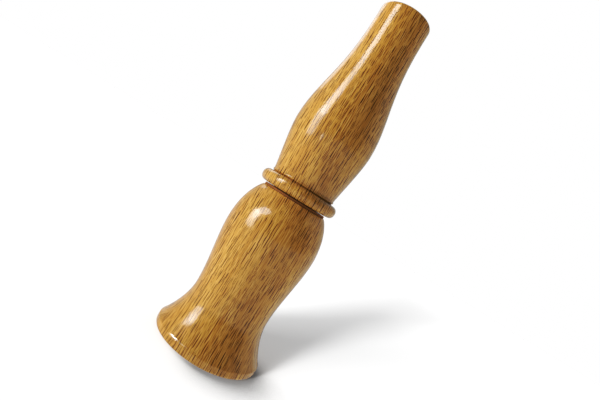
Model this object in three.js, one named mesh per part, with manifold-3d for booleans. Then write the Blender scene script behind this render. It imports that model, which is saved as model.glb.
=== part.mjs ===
// A fox call: a turned wooden predator call in two halves, with a reed voice inside.
// It stands on the rim of its bell, on the plane z = 0, with its long axis on +Z.
// Sizes are in millimetres. The outline is given from the rim upwards, stretch by stretch.

import * as THREE from 'three';
import { mergeVertices } from 'three/addons/utils/BufferGeometryUtils.js';
import Module from 'manifold-3d';

// Outline of the bell, the lower half
const RIM_RADIUS = 20.4;
const RIM_EDGE_HEIGHT = 1.8;
const RIM_EDGE_WIDTH = 1.8;
const RIM_LAND_WIDTH = 1.5;
const FLARE_LENGTH = 16.7;
const WAIST_RADIUS = 14.9;
const WAIST_TO_BELLY = 27;
const BELLY_RADIUS = 17.6;
const BELLY_TO_SHOULDER = 15.9;
const SHOULDER_RADIUS = 12.8;
const PARTING_NECK_RADIUS = 12.4;
const PARTING_NECK_LENGTH = 0.8;

// Outline of the mouthpiece, the upper half
const BEAD_WIDTH = 4.6;
const BEAD_HEIGHT = 2.4;
const BEAD_ROOT_RADIUS = 12.8;
const CUT_LINE_WIDTH = 0.5;
const CUT_LINE_DEPTH = 0.45;
const NECK_RADIUS = 12.4;
const NECK_TO_BULB = 21.4;
const BULB_RADIUS = 15.4;
const BULB_TO_STEM = 45;
const STEM_RADIUS = 9.9;
const STEM_LENGTH = 4.9;
const LIP_EDGE_HEIGHT = 1.1;
const LIP_EDGE_WIDTH = 1.4;

// Bores
const BELL_BORE_RADIUS = 5.6;
const BELL_MOUTH_LENGTH = 38;
const BELL_MOUTH_ROUNDING = 0.8;
const BLOWING_BORE_RADIUS = 4.5;
const BLOWING_BORE_ROUNDING = 0.8;
const CHAMBER_CONE_LENGTH = 7;
const CHAMBER_HEADROOM = 2;
const SOCKET_LEAD_IN = 0.6;

// Tenon of the bell, and the two rubber rings in its grooves
const TENON_LENGTH = 22;
const TENON_EDGE = 0.6;
const TENON_FIT = 0.25;
const GROOVE_WALL = 1.8;
const GROOVE_SIDE_CLEARANCE = 0.3;
const RING_THICKNESS = 1.5;
const RING_WIDTH = 2;
const RING_CLEARANCE = 0.15;
const RING_SETBACK = 5;
const RING_SPACING = 10;

// Reed voice: block, trough, reed and wedge
const BLOCK_LENGTH = 12;
const BLOCK_EDGE = 0.5;
const BLOCK_FLANGE_THICKNESS = 1.5;
const BLOCK_FLANGE_OVERHANG = 1.6;
const TROUGH_RADIUS = 3.5;
const TROUGH_WALL = 0.9;
const TROUGH_FACE_SETBACK = 0.25;
const TROUGH_FREE_LENGTH = 22;
const TROUGH_ROOT_LENGTH = 11;
const TROUGH_TIP_WALL = 2;
const TROUGH_NOSE_LENGTH = 3;
const LAY_DROP = 1.2;
const REED_THICKNESS = 0.3;
const REED_EDGE_OVERLAP = 0.5;
const REED_ROOT_LENGTH = 6;
const REED_TIP_SETBACK = 0.5;
const REED_CORNER_RADIUS = 1.8;
const WEDGE_LENGTH = 10;
const WEDGE_PROUD_LENGTH = 1;
const WEDGE_POINT_LENGTH = 3;
const WEDGE_POINT_DEPTH = 1.1;

// Clearances
const SEAT_GAP = 0.3;
const PARTING_GAP = 0.3;

// Curves of the outline: each handle is a share of its stretch, and each slope is the
// radius gained per millimetre of height
const FLARE_CURVE = { start: 0.2, startSlope: -0.25, end: 0.39, endSlope: 0 };
const WAIST_CURVE = { start: 0.33, startSlope: 0, end: 0.31, endSlope: 0 };
const SHOULDER_CURVE = { start: 0.5, startSlope: 0, end: 0.15, endSlope: -0.9 };
const NECK_CURVE = { start: 0.31, startSlope: 0.15, end: 0.26, endSlope: 0 };
const STEM_CURVE = { start: 0.3, startSlope: 0, end: 0.52, endSlope: 0 };
const BORE_CURVE = { start: 0.5, startSlope: 0, end: 0.14, endSlope: -0.65 };

// Roundness
const TURNED_SIDES = 56;
const RING_SIDES = 48;
const CHANNEL_SIDES = 24;
const CURVE_STEPS = 7;
const EDGE_STEPS = 4;
const BEAD_STEPS = 8;
const RING_SECTION_STEPS = 10;
const VOICE_SIDES = 40;
const VOICE_CURVE_STEPS = 10;

// How far a cutting solid runs past the face it cuts
const CUT_OVERRUN = 1;

// Levels along the axis, from the rim upwards
const waistLevel = RIM_EDGE_HEIGHT + FLARE_LENGTH;
const bellyLevel = waistLevel + WAIST_TO_BELLY;
const partingNeckLevel = bellyLevel + BELLY_TO_SHOULDER;
const shoulderLevel = partingNeckLevel + PARTING_NECK_LENGTH;
const beadLevel = shoulderLevel + PARTING_GAP;
const cutLineLevel = beadLevel + BEAD_WIDTH;
const neckLevel = cutLineLevel + CUT_LINE_WIDTH;
const bulbLevel = neckLevel + NECK_TO_BULB;
const stemLevel = bulbLevel + BULB_TO_STEM;
const lipLevel = stemLevel + STEM_LENGTH;
const topLevel = lipLevel + LIP_EDGE_HEIGHT;
const lowerRingLevel = shoulderLevel + RING_SETBACK;
const upperRingLevel = lowerRingLevel + RING_SPACING;
const tenonTop = shoulderLevel + TENON_LENGTH;
const flangeLevel = tenonTop + SEAT_GAP;
const blockTop = flangeLevel + BLOCK_FLANGE_THICKNESS;
const blockFoot = flangeLevel - BLOCK_LENGTH;
const troughFoot = blockTop - TROUGH_ROOT_LENGTH;
const troughTip = blockTop + TROUGH_FREE_LENGTH;
const reedFoot = blockTop - REED_ROOT_LENGTH;
const reedTip = troughTip - REED_TIP_SETBACK;
const wedgeTop = blockTop + WEDGE_PROUD_LENGTH;
const wedgeFoot = wedgeTop - WEDGE_LENGTH;
const chamberTop = troughTip + CHAMBER_HEADROOM;

// Radii that fit one piece to the next
const grooveFloorRadius = BELL_BORE_RADIUS + GROOVE_WALL;
const ringInnerRadius = grooveFloorRadius + RING_CLEARANCE;
const ringMiddleRadius = ringInnerRadius + RING_THICKNESS / 2;
const socketRadius = ringInnerRadius + RING_THICKNESS + RING_CLEARANCE;
const tenonRadius = socketRadius - TENON_FIT;
const blockRadius = BELL_BORE_RADIUS - SEAT_GAP;
const flangeRadius = BELL_BORE_RADIUS + BLOCK_FLANGE_OVERHANG;
const blockBoreRadius = TROUGH_RADIUS + SEAT_GAP;
const channelRadius = TROUGH_RADIUS - TROUGH_WALL;

// Faces of the voice across the bore: the reed lies between the trough and the wedge
const troughFace = -TROUGH_FACE_SETBACK;
const reedFace = troughFace + SEAT_GAP;
const reedBack = reedFace + REED_THICKNESS;
const wedgeFace = reedBack + SEAT_GAP;

// Finishes
const lacqueredWood = { color: 0xb5833c, roughness: 0.28, metalness: 0 };
const plainWood = { color: 0xc79f68, roughness: 0.6, metalness: 0 };
const rubber = { color: 0x1b1a19, roughness: 0.7, metalness: 0 };
const brass = { color: 0xc9a24d, roughness: 0.32, metalness: 1 };
const cork = { color: 0xb08a5e, roughness: 0.9, metalness: 0 };

const foxCall = new THREE.Group();
foxCall.name = 'fox_call';

function addPiece(name, geometry, finish) {
  const piece = new THREE.Mesh(geometry, new THREE.MeshStandardMaterial(finish));
  piece.name = name;
  foxCall.add(piece);
}

// A point of a turned outline: its radius and its level on the axis
function at(radius, level) {
  return new THREE.Vector2(radius, level);
}

// The points of a smooth curve from one point of an outline to the next
function bend(from, to, curve) {
  const startRun = curve.start * (to.y - from.y);
  const endRun = curve.end * (to.y - from.y);
  const startHandle = at(from.x + curve.startSlope * startRun, from.y + startRun);
  const endHandle = at(to.x - curve.endSlope * endRun, to.y - endRun);
  return new THREE.CubicBezierCurve(from, startHandle, endHandle, to).getPoints(CURVE_STEPS);
}

// A quarter of an ellipse about a centre, which rounds the edge between two points
function roundEdge(from, to, centre) {
  const points = [];
  for (let step = 0; step <= EDGE_STEPS; step += 1) {
    const angle = (Math.PI / 2) * (step / EDGE_STEPS);
    const fromShare = from.clone().sub(centre).multiplyScalar(Math.cos(angle));
    const toShare = to.clone().sub(centre).multiplyScalar(Math.sin(angle));
    points.push(centre.clone().add(fromShare).add(toShare));
  }
  return points;
}

// A turned solid: an outline in stretches, closed on itself and spun round the Z axis.
// The outline runs up the outside and back down the bore.
function turn(stretches, sides) {
  const outline = [];
  for (const point of stretches.flat()) {
    const last = outline[outline.length - 1];
    if (!last || !last.equals(point)) {
      outline.push(point);
    }
  }
  outline.push(outline[0].clone());
  return new THREE.LatheGeometry(outline, sides).rotateX(Math.PI / 2);
}

// Bell: rim, waist, belly and shoulder outside, then the tenon, then the bore

function ringGroove(level) {
  const halfWidth = RING_WIDTH / 2 + GROOVE_SIDE_CLEARANCE;
  return [
    at(tenonRadius, level - halfWidth),
    at(grooveFloorRadius, level - halfWidth),
    at(grooveFloorRadius, level + halfWidth),
    at(tenonRadius, level + halfWidth),
  ];
}

function makeBell() {
  const landOuter = at(RIM_RADIUS - RIM_EDGE_WIDTH, 0);
  const landInner = at(landOuter.x - RIM_LAND_WIDTH, 0);
  const rim = at(RIM_RADIUS, RIM_EDGE_HEIGHT);
  const waist = at(WAIST_RADIUS, waistLevel);
  const belly = at(BELLY_RADIUS, bellyLevel);
  const shoulder = at(SHOULDER_RADIUS, partingNeckLevel);
  const mouth = at(landInner.x - BELL_MOUTH_ROUNDING, BELL_MOUTH_ROUNDING);
  const throat = at(BELL_BORE_RADIUS, BELL_MOUTH_ROUNDING + BELL_MOUTH_LENGTH);
  return turn([
    roundEdge(landOuter, rim, at(landOuter.x, rim.y)),
    bend(rim, waist, FLARE_CURVE),
    bend(waist, belly, WAIST_CURVE),
    bend(belly, shoulder, SHOULDER_CURVE),
    at(PARTING_NECK_RADIUS, partingNeckLevel),
    at(PARTING_NECK_RADIUS, shoulderLevel),
    at(tenonRadius, shoulderLevel),
    ringGroove(lowerRingLevel),
    ringGroove(upperRingLevel),
    at(tenonRadius, tenonTop - TENON_EDGE),
    at(tenonRadius - TENON_EDGE, tenonTop),
    at(BELL_BORE_RADIUS, tenonTop),
    bend(throat, mouth, BORE_CURVE),
    roundEdge(mouth, landInner, at(landInner.x, mouth.y)),
  ], TURNED_SIDES);
}

addPiece('bell', makeBell(), lacqueredWood);

// Rubber rings: ovals, as they lie pressed between the groove and the socket

function makeRing(level) {
  const section = [];
  for (let step = 0; step < RING_SECTION_STEPS; step += 1) {
    const angle = 2 * Math.PI * (step / RING_SECTION_STEPS);
    const radius = ringMiddleRadius + (RING_THICKNESS / 2) * Math.cos(angle);
    section.push(at(radius, level + (RING_WIDTH / 2) * Math.sin(angle)));
  }
  return turn(section, RING_SIDES);
}

addPiece('lower_o_ring', makeRing(lowerRingLevel), rubber);
addPiece('upper_o_ring', makeRing(upperRingLevel), rubber);

// Mouthpiece: bead, cut line, neck, bulb and stem outside, then the blowing bore, which
// widens into the chamber round the voice and the socket for the tenon

function bead() {
  const points = [];
  for (let step = 0; step <= BEAD_STEPS; step += 1) {
    const angle = Math.PI * (step / BEAD_STEPS - 0.5);
    const level = beadLevel + (BEAD_WIDTH / 2) * (1 + Math.sin(angle));
    points.push(at(BEAD_ROOT_RADIUS + BEAD_HEIGHT * Math.cos(angle), level));
  }
  return points;
}

function makeMouthpiece() {
  const neck = at(NECK_RADIUS, neckLevel);
  const bulb = at(BULB_RADIUS, bulbLevel);
  const stem = at(STEM_RADIUS, stemLevel);
  const lip = at(STEM_RADIUS, lipLevel);
  const lipEnd = at(STEM_RADIUS - LIP_EDGE_WIDTH, topLevel);
  const boreEdge = at(BLOWING_BORE_RADIUS + BLOWING_BORE_ROUNDING, topLevel);
  const bore = at(BLOWING_BORE_RADIUS, topLevel - BLOWING_BORE_ROUNDING);
  return turn([
    bead(),
    at(NECK_RADIUS - CUT_LINE_DEPTH, cutLineLevel + CUT_LINE_WIDTH / 2),
    bend(neck, bulb, NECK_CURVE),
    bend(bulb, stem, STEM_CURVE),
    roundEdge(lip, lipEnd, at(lipEnd.x, lip.y)),
    roundEdge(boreEdge, bore, at(boreEdge.x, bore.y)),
    at(BLOWING_BORE_RADIUS, chamberTop + CHAMBER_CONE_LENGTH),
    at(socketRadius, chamberTop),
    at(socketRadius, beadLevel + SOCKET_LEAD_IN),
    at(socketRadius + SOCKET_LEAD_IN, beadLevel),
  ], TURNED_SIDES);
}

addPiece('mouthpiece', makeMouthpiece(), lacqueredWood);

// Reed block: a turned plug in the tenon's bore, with a flange that stops it on the end

addPiece('reed_block', turn([
  at(blockRadius - BLOCK_EDGE, blockFoot),
  at(blockRadius, blockFoot + BLOCK_EDGE),
  at(blockRadius, flangeLevel),
  at(flangeRadius, flangeLevel),
  at(flangeRadius, blockTop - BLOCK_EDGE),
  at(flangeRadius - BLOCK_EDGE, blockTop),
  at(blockBoreRadius, blockTop),
  at(blockBoreRadius, blockFoot),
], TURNED_SIDES), plainWood);

// The voice's other pieces are cut from rods and outlines

const wasm = await Module();
wasm.setup();

function solidFrom(geometry) {
  const bare = geometry.clone();
  bare.deleteAttribute('normal');
  bare.deleteAttribute('uv');
  const merged = mergeVertices(bare);
  const vertProperties = merged.getAttribute('position').array;
  const triVerts = new Uint32Array(merged.getIndex().array);
  return new wasm.Manifold(new wasm.Mesh({ numProp: 3, vertProperties, triVerts }));
}

function geometryFrom(solid) {
  const mesh = solid.getMesh();
  const geometry = new THREE.BufferGeometry();
  geometry.setAttribute('position', new THREE.BufferAttribute(mesh.vertProperties, 3));
  geometry.setIndex(new THREE.BufferAttribute(mesh.triVerts, 1));
  geometry.computeVertexNormals();
  return geometry;
}

// A round rod on the axis between two levels
function rod(radius, foot, top, sides) {
  const geometry = new THREE.CylinderGeometry(radius, radius, top - foot, sides);
  return solidFrom(geometry.rotateX(Math.PI / 2).translate(0, 0, (foot + top) / 2));
}

// A side view of the voice, drawn with the distance from the axis first and the level
// second, run across the whole width of the bore
function sideView(shape) {
  const depth = 2 * blockBoreRadius;
  const options = { depth, bevelEnabled: false, curveSegments: VOICE_CURVE_STEPS };
  const slab = new THREE.ExtrudeGeometry(shape, options);
  const across = new THREE.Vector3(1, 0, 0);
  const outwards = new THREE.Vector3(0, 1, 0);
  const upwards = new THREE.Vector3(0, 0, 1);
  slab.applyMatrix4(new THREE.Matrix4().makeBasis(outwards, upwards, across));
  return solidFrom(slab.translate(-depth / 2, 0, 0));
}

// Tone trough: a half-round rod whose flat face falls away from the reed towards a
// rounded nose, with a half-round sound channel sunk in it and open at the foot

function makeTrough() {
  const side = new THREE.Shape();
  side.moveTo(troughFace, troughFoot - CUT_OVERRUN);
  side.lineTo(troughFace, blockTop);
  side.quadraticCurveTo(troughFace, (blockTop + troughTip) / 2, troughFace - LAY_DROP, troughTip);
  side.quadraticCurveTo(-TROUGH_RADIUS, troughTip, -TROUGH_RADIUS, troughTip - TROUGH_NOSE_LENGTH);
  side.lineTo(-TROUGH_RADIUS - CUT_OVERRUN, troughTip - TROUGH_NOSE_LENGTH);
  side.lineTo(-TROUGH_RADIUS - CUT_OVERRUN, troughFoot - CUT_OVERRUN);
  const channelTip = troughTip - TROUGH_TIP_WALL;
  const channel = rod(channelRadius, troughFoot - CUT_OVERRUN, channelTip, CHANNEL_SIDES);
  const body = rod(TROUGH_RADIUS, troughFoot, troughTip + CUT_OVERRUN, VOICE_SIDES);
  return geometryFrom(body.intersect(sideView(side)).subtract(channel));
}

addPiece('tone_trough', makeTrough(), brass);

// Reed: a thin flat tongue over the channel, with its free corners rounded

function makeReed() {
  const edge = channelRadius + REED_EDGE_OVERLAP;
  const cornerLevel = reedTip - REED_CORNER_RADIUS;
  const plan = new THREE.Shape();
  plan.moveTo(reedFoot, -edge);
  plan.lineTo(cornerLevel, -edge);
  plan.quadraticCurveTo(reedTip, -edge, reedTip, REED_CORNER_RADIUS - edge);
  plan.lineTo(reedTip, edge - REED_CORNER_RADIUS);
  plan.quadraticCurveTo(reedTip, edge, cornerLevel, edge);
  plan.lineTo(reedFoot, edge);
  const options = { depth: REED_THICKNESS, bevelEnabled: false, curveSegments: VOICE_CURVE_STEPS };
  const tongue = new THREE.ExtrudeGeometry(plan, options);
  const across = new THREE.Vector3(1, 0, 0);
  const outwards = new THREE.Vector3(0, 1, 0);
  const upwards = new THREE.Vector3(0, 0, 1);
  tongue.applyMatrix4(new THREE.Matrix4().makeBasis(upwards, across, outwards));
  return tongue.translate(0, reedFace, 0);
}

addPiece('reed', makeReed(), brass);

// Reed wedge: the other side of the bore, flat against the reed and thinned behind its
// foot, so that pushing it in pinches the reed on the trough

function makeWedge() {
  const side = new THREE.Shape();
  side.moveTo(wedgeFace, wedgeFoot - CUT_OVERRUN);
  side.lineTo(TROUGH_RADIUS - WEDGE_POINT_DEPTH, wedgeFoot - CUT_OVERRUN);
  side.lineTo(TROUGH_RADIUS - WEDGE_POINT_DEPTH, wedgeFoot);
  side.lineTo(TROUGH_RADIUS, wedgeFoot + WEDGE_POINT_LENGTH);
  side.lineTo(TROUGH_RADIUS + CUT_OVERRUN, wedgeFoot + WEDGE_POINT_LENGTH);
  side.lineTo(TROUGH_RADIUS + CUT_OVERRUN, wedgeTop + CUT_OVERRUN);
  side.lineTo(wedgeFace, wedgeTop + CUT_OVERRUN);
  const body = rod(TROUGH_RADIUS, wedgeFoot, wedgeTop, VOICE_SIDES);
  return geometryFrom(body.intersect(sideView(side)));
}

addPiece('reed_wedge', makeWedge(), cork);

export default foxCall;
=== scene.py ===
# A fox call: a turned bell and mouthpiece of lacquered wood round a brass reed voice.
# It stands on the rim of its bell. Lengths are in metres, and the sections follow the call
# as it is put together.

import math

import bmesh
import bpy
from mathutils import Matrix, Vector
from mathutils.geometry import interpolate_bezier


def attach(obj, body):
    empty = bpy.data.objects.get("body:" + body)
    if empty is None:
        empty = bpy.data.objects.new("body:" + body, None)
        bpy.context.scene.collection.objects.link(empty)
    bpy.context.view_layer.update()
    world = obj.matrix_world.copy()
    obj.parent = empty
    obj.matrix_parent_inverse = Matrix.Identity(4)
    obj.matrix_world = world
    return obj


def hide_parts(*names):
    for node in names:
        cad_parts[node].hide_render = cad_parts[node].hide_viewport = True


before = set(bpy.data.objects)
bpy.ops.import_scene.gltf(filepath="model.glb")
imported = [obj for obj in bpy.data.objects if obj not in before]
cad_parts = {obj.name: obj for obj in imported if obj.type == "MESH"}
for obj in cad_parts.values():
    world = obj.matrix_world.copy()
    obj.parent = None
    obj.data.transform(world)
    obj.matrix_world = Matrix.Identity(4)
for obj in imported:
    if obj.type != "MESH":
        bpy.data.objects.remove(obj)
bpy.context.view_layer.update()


# Bell
# The lower half, turned from one length of flecked hardwood, with a flared rim, a widening
# bore and a grooved tenon. It is lacquered but for the tenon and the straight bore.

MM = 0.001

RIM_RADIUS = 20.4 * MM
RIM_EDGE = 1.5 * MM
RIM_LAND_WIDTH = 1.8 * MM
RIM_BAND_TOP = 2.8 * MM
RIM_CREST_RADIUS = 19.85 * MM
RIM_CREST_LEVEL = 3.8 * MM
FLARE_SLOPE = -0.62
WAIST_RADIUS = 14.9 * MM
WAIST_LEVEL = 18.5 * MM
BELLY_RADIUS = 17.6 * MM
BELLY_LEVEL = 45.5 * MM
SHOULDER_RADIUS = 12.8 * MM
SHOULDER_FOOT = 61.4 * MM
PARTING_RADIUS = 12.4 * MM
SHOULDER_LEVEL = 62.2 * MM
TENON_RADIUS = 8.95 * MM
TENON_TOP = 84.2 * MM
TENON_EDGE = 0.6 * MM
GROOVE_FLOOR_RADIUS = 7.4 * MM
GROOVE_WIDTH = 2.6 * MM
RING_LEVELS = (67.2 * MM, 77.2 * MM)
BORE_RADIUS = 5.6 * MM
BORE_THROAT_LEVEL = 38.8 * MM
MOUTH_ROUNDING = 0.8 * MM
TURNED_SIDES = 192
SWEEP_RADIUS = 10 * MM
CURVE_STEPS = 12
EDGE_STEPS = 6
SAME_POINT = 0.001 * MM
SHARP_ANGLE = math.radians(32)

# Curves of the outline: how far each one keeps its direction at its ends, as a share of its
# height, and the slope it has there, as radius over height
BORE_CURVE = {"start_run": 0.5, "end_run": 0.14, "end_slope": -0.65}
RIM_CURVE = {"start_run": 0.5, "end_run": 0.4, "end_slope": FLARE_SLOPE}
FLARE_CURVE = {"start_run": 0.25, "end_run": 0.36, "start_slope": FLARE_SLOPE}
WAIST_CURVE = {"start_run": 0.33, "end_run": 0.31}
SHOULDER_CURVE = {"start_run": 0.5, "end_run": 0.15, "end_slope": -0.9}

WOOD_LIGHT = (0.50, 0.272, 0.068, 1)
WOOD_DEEP = (0.45, 0.228, 0.050, 1)
FIBRE_LIGHT = (0.62, 0.375, 0.120, 1)
FIBRE_DARK = (0.26, 0.112, 0.022, 1)
DASH_DARK = (0.060, 0.023, 0.005, 1)
# Painted shade on the step where the halves part: brown, and darkest at its middle
PARTING_SHADE_BROWN = (0.22, 0.078, 0.015, 1)
PARTING_SHADE_DARK = (0.04, 0.014, 0.004, 1)
BARE_PALE = (0.72, 0.50, 0.26, 1)

# Sizes of the figure and of the surface, in mm across the front, away from it and upwards
SWAY_SIZE = (22, 22, 45)
BAND_SIZE = (3.6, 9, 70)
FIBRE_SIZE = (0.25, 2, 7)
MAIN_CELL = (1.1, 5, 4.4)
MAIN_DASH = (0.28, 7, 6.0)
FINE_CELL = (0.7, 4, 2.8)
FINE_DASH = (0.19, 5, 3.3)
PEEL_SIZE = (1.8, 1.8, 2.8)
TOOL_MARK_SIZE = (5, 5, 0.18)

# Ramps: from one level of a noise to another, and how strong the mark is at each of them
BANDS = (0.34, 0.66, 0, 1)
LIGHT_FIBRES = (0.48, 0.3, 0, 0.7)
DARK_FIBRES = (0.52, 0.7, 0, 0.5)
PALE_MARKS = (0.3, 0.7, 0.18, 0.34)
ROUGH_MARKS = (0.3, 0.7, 0.55, 0.72)

SWAY_DEPTH = 1.6 * MM
DASH_SCATTER = 0.64
DASH_LENGTHS = (0.55, 1.25)
DASH_SOFT_FROM = 0.7
DASH_FAINTEST = 0.65
FAINT_DASHES = 0.5
DASH_STRENGTH = 0.95
FINE_STRENGTH = 0.85
DARK_FIBRE_DEPTH = 0.4
SIDE_BLEND = (0.82, 0.94)
LACQUERED_ROUGHNESS = (0.45, 0.6)
PORE_DEPTH = 0.04 * MM
PORE_SHOWING = 0.15
PEEL_DEPTH = 0.04 * MM
TOOL_MARK_DEPTH = 0.06 * MM
TOOL_MARK_SHARE = 0.6
# Painted shade on the parting step: its level, the widths of its edge and of its dark middle, and
# its strength
PARTING_LEVEL = 61.9 * MM
PARTING_SHADE_EDGE = (0.7 * MM, 0.9 * MM)
PARTING_SHADE_CORE = (0.15 * MM, 0.45 * MM)
PARTING_SHADE_STRENGTH = 0.85


def at(radius, level):
    """A point of a turned outline, drawn in the plane y = 0."""
    return Vector((radius, 0, level))


def bend(start, end, start_run, end_run, start_slope=0, end_slope=0):
    """A smooth stretch. The runs are shares of its height; a slope is radius over height."""
    rise = end.z - start.z
    first = start + Vector((start_slope, 0, 1)) * start_run * rise
    last = end - Vector((end_slope, 0, 1)) * end_run * rise
    return interpolate_bezier(start, first, last, end, CURVE_STEPS + 1)


def rounded(start, end, centre):
    """A quarter of an ellipse about a centre."""
    turns = [math.pi / 2 * step / EDGE_STEPS for step in range(EDGE_STEPS + 1)]
    return [centre + (start - centre) * math.cos(a) + (end - centre) * math.sin(a) for a in turns]


def draw_outline(name, lacquered, bare):
    """The closed outline of a turned piece: its lacquered stretch, then the bare one."""
    outline = bmesh.new()
    is_bare = outline.verts.layers.bool.new("bare")
    for stretch, flag in ((lacquered, False), (bare, True)):
        for point in stretch:
            vert = outline.verts.new(point)
            vert[is_bare] = flag
    bmesh.ops.remove_doubles(outline, verts=outline.verts, dist=SAME_POINT)
    outline.verts.ensure_lookup_table()
    count = len(outline.verts)
    for i in range(count):
        outline.edges.new((outline.verts[i], outline.verts[(i + 1) % count]))
    mesh = bpy.data.meshes.new(name)
    outline.to_mesh(mesh)
    outline.free()
    drawn = bpy.data.objects.new(name, mesh)
    bpy.context.scene.collection.objects.link(drawn)
    return drawn


def make_lathe():
    """Spins an outline round the Z axis: sweeps it round a circle, whose radius is taken off
    the outline first. Its bare stretches get a finish of their own."""
    tree = bpy.data.node_groups.new("turned on the lathe", "GeometryNodeTree")
    face = tree.interface
    face.new_socket("Outline", in_out="INPUT", socket_type="NodeSocketGeometry")
    face.new_socket("Sides", in_out="INPUT", socket_type="NodeSocketInt")
    face.new_socket("Sweep Radius", in_out="INPUT", socket_type="NodeSocketFloat")
    face.new_socket("Finish", in_out="INPUT", socket_type="NodeSocketMaterial")
    face.new_socket("Bare Finish", in_out="INPUT", socket_type="NodeSocketMaterial")
    face.new_socket("Turned", in_out="OUTPUT", socket_type="NodeSocketGeometry")
    nodes, link = tree.nodes, tree.links.new
    given = nodes.new("NodeGroupInput")
    made = nodes.new("NodeGroupOutput")

    curve = nodes.new("GeometryNodeMeshToCurve")
    link(given.outputs["Outline"], curve.inputs["Mesh"])
    inwards = nodes.new("ShaderNodeMath")
    inwards.operation = "MULTIPLY"
    inwards.inputs[1].default_value = -1
    link(given.outputs["Sweep Radius"], inwards.inputs[0])
    offset = nodes.new("ShaderNodeCombineXYZ")
    link(inwards.outputs["Value"], offset.inputs["X"])
    laid = nodes.new("GeometryNodeTransform")
    laid.inputs["Rotation"].default_value = (math.pi / 2, 0, 0)
    link(curve.outputs["Curve"], laid.inputs["Geometry"])
    link(offset.outputs["Vector"], laid.inputs["Translation"])

    circle = nodes.new("GeometryNodeCurvePrimitiveCircle")
    link(given.outputs["Sides"], circle.inputs["Resolution"])
    link(given.outputs["Sweep Radius"], circle.inputs["Radius"])
    swept = nodes.new("GeometryNodeCurveToMesh")
    link(circle.outputs["Curve"], swept.inputs["Curve"])
    link(laid.outputs["Geometry"], swept.inputs["Profile Curve"])

    bare = nodes.new("GeometryNodeInputNamedAttribute")
    bare.data_type = "BOOLEAN"
    bare.inputs["Name"].default_value = "bare"
    outwards = nodes.new("GeometryNodeFlipFaces")
    real = nodes.new("GeometryNodeRealizeInstances")
    finish = nodes.new("GeometryNodeSetMaterial")
    bare_finish = nodes.new("GeometryNodeSetMaterial")
    link(swept.outputs["Mesh"], outwards.inputs["Mesh"])
    link(outwards.outputs["Mesh"], real.inputs["Geometry"])
    link(real.outputs["Geometry"], finish.inputs["Geometry"])
    link(given.outputs["Finish"], finish.inputs["Material"])
    link(finish.outputs["Geometry"], bare_finish.inputs["Geometry"])
    link(bare.outputs["Attribute"], bare_finish.inputs["Selection"])
    link(given.outputs["Bare Finish"], bare_finish.inputs["Material"])
    link(bare_finish.outputs["Geometry"], made.inputs["Turned"])
    return tree


LATHE = make_lathe()


def set_inputs(modifier, **values):
    """Sets a modifier's named inputs by their sockets' identifiers."""
    for socket in modifier.node_group.interface.items_tree:
        if socket.item_type == "SOCKET" and socket.in_out == "INPUT":
            key = socket.name.lower().replace(" ", "_")
            if key in values:
                modifier[socket.identifier] = values[key]


def turn(name, lacquered, bare, finish, bare_finish, sides=TURNED_SIDES):
    """A turned piece as a plain mesh."""
    drawn = draw_outline(name + "_outline", lacquered, bare)
    lathe = drawn.modifiers.new("lathe", "NODES")
    lathe.node_group = LATHE
    set_inputs(lathe, sides=sides, sweep_radius=SWEEP_RADIUS,
               finish=finish, bare_finish=bare_finish)
    bpy.context.view_layer.update()
    evaluated = drawn.evaluated_get(bpy.context.evaluated_depsgraph_get())
    mesh = bpy.data.meshes.new_from_object(evaluated)
    mesh.name = name
    bpy.data.objects.remove(drawn)
    return add_piece(name, mesh)


def add_piece(name, mesh):
    """Links a finished mesh, smooth but for its sharp edges."""
    mesh.shade_smooth()
    mesh.set_sharp_from_angle(angle=SHARP_ANGLE)
    piece = bpy.data.objects.new(name, mesh)
    bpy.context.scene.collection.objects.link(piece)
    return piece


class Wiring:
    """Short words for laying out nodes."""

    def __init__(self, tree):
        self.nodes = tree.nodes
        self.link = tree.links.new

    def math(self, operation, first, second=0, third=0):
        node = self.nodes.new("ShaderNodeMath")
        node.operation = operation
        for socket, value in zip(node.inputs, (first, second, third)):
            if isinstance(value, (int, float)):
                socket.default_value = value
            else:
                self.link(value, socket)
        return node.outputs["Value"]

    def vector(self, operation, first, second=None, output="Vector"):
        node = self.nodes.new("ShaderNodeVectorMath")
        node.operation = operation
        for socket, value in zip(node.inputs, (first, second)):
            if isinstance(value, (list, tuple, Vector)):
                socket.default_value = value
            elif value is not None:
                self.link(value, socket)
        return node.outputs[output]

    def ramp(self, value, low, high, start=0, end=1):
        """A soft step: start below low, end above high."""
        node = self.nodes.new("ShaderNodeMapRange")
        node.interpolation_type = "SMOOTHSTEP"
        self.link(value, node.inputs["Value"])
        node.inputs["From Min"].default_value = low
        node.inputs["From Max"].default_value = high
        node.inputs["To Min"].default_value = start
        node.inputs["To Max"].default_value = end
        return node.outputs["Result"]

    def between(self, value, low, high, soft):
        """1 from low to high, fading to 0 over a soft edge outside them."""
        return self.math("MULTIPLY", self.ramp(value, low - soft, low),
                         self.ramp(value, high, high + soft, 1, 0))


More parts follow.
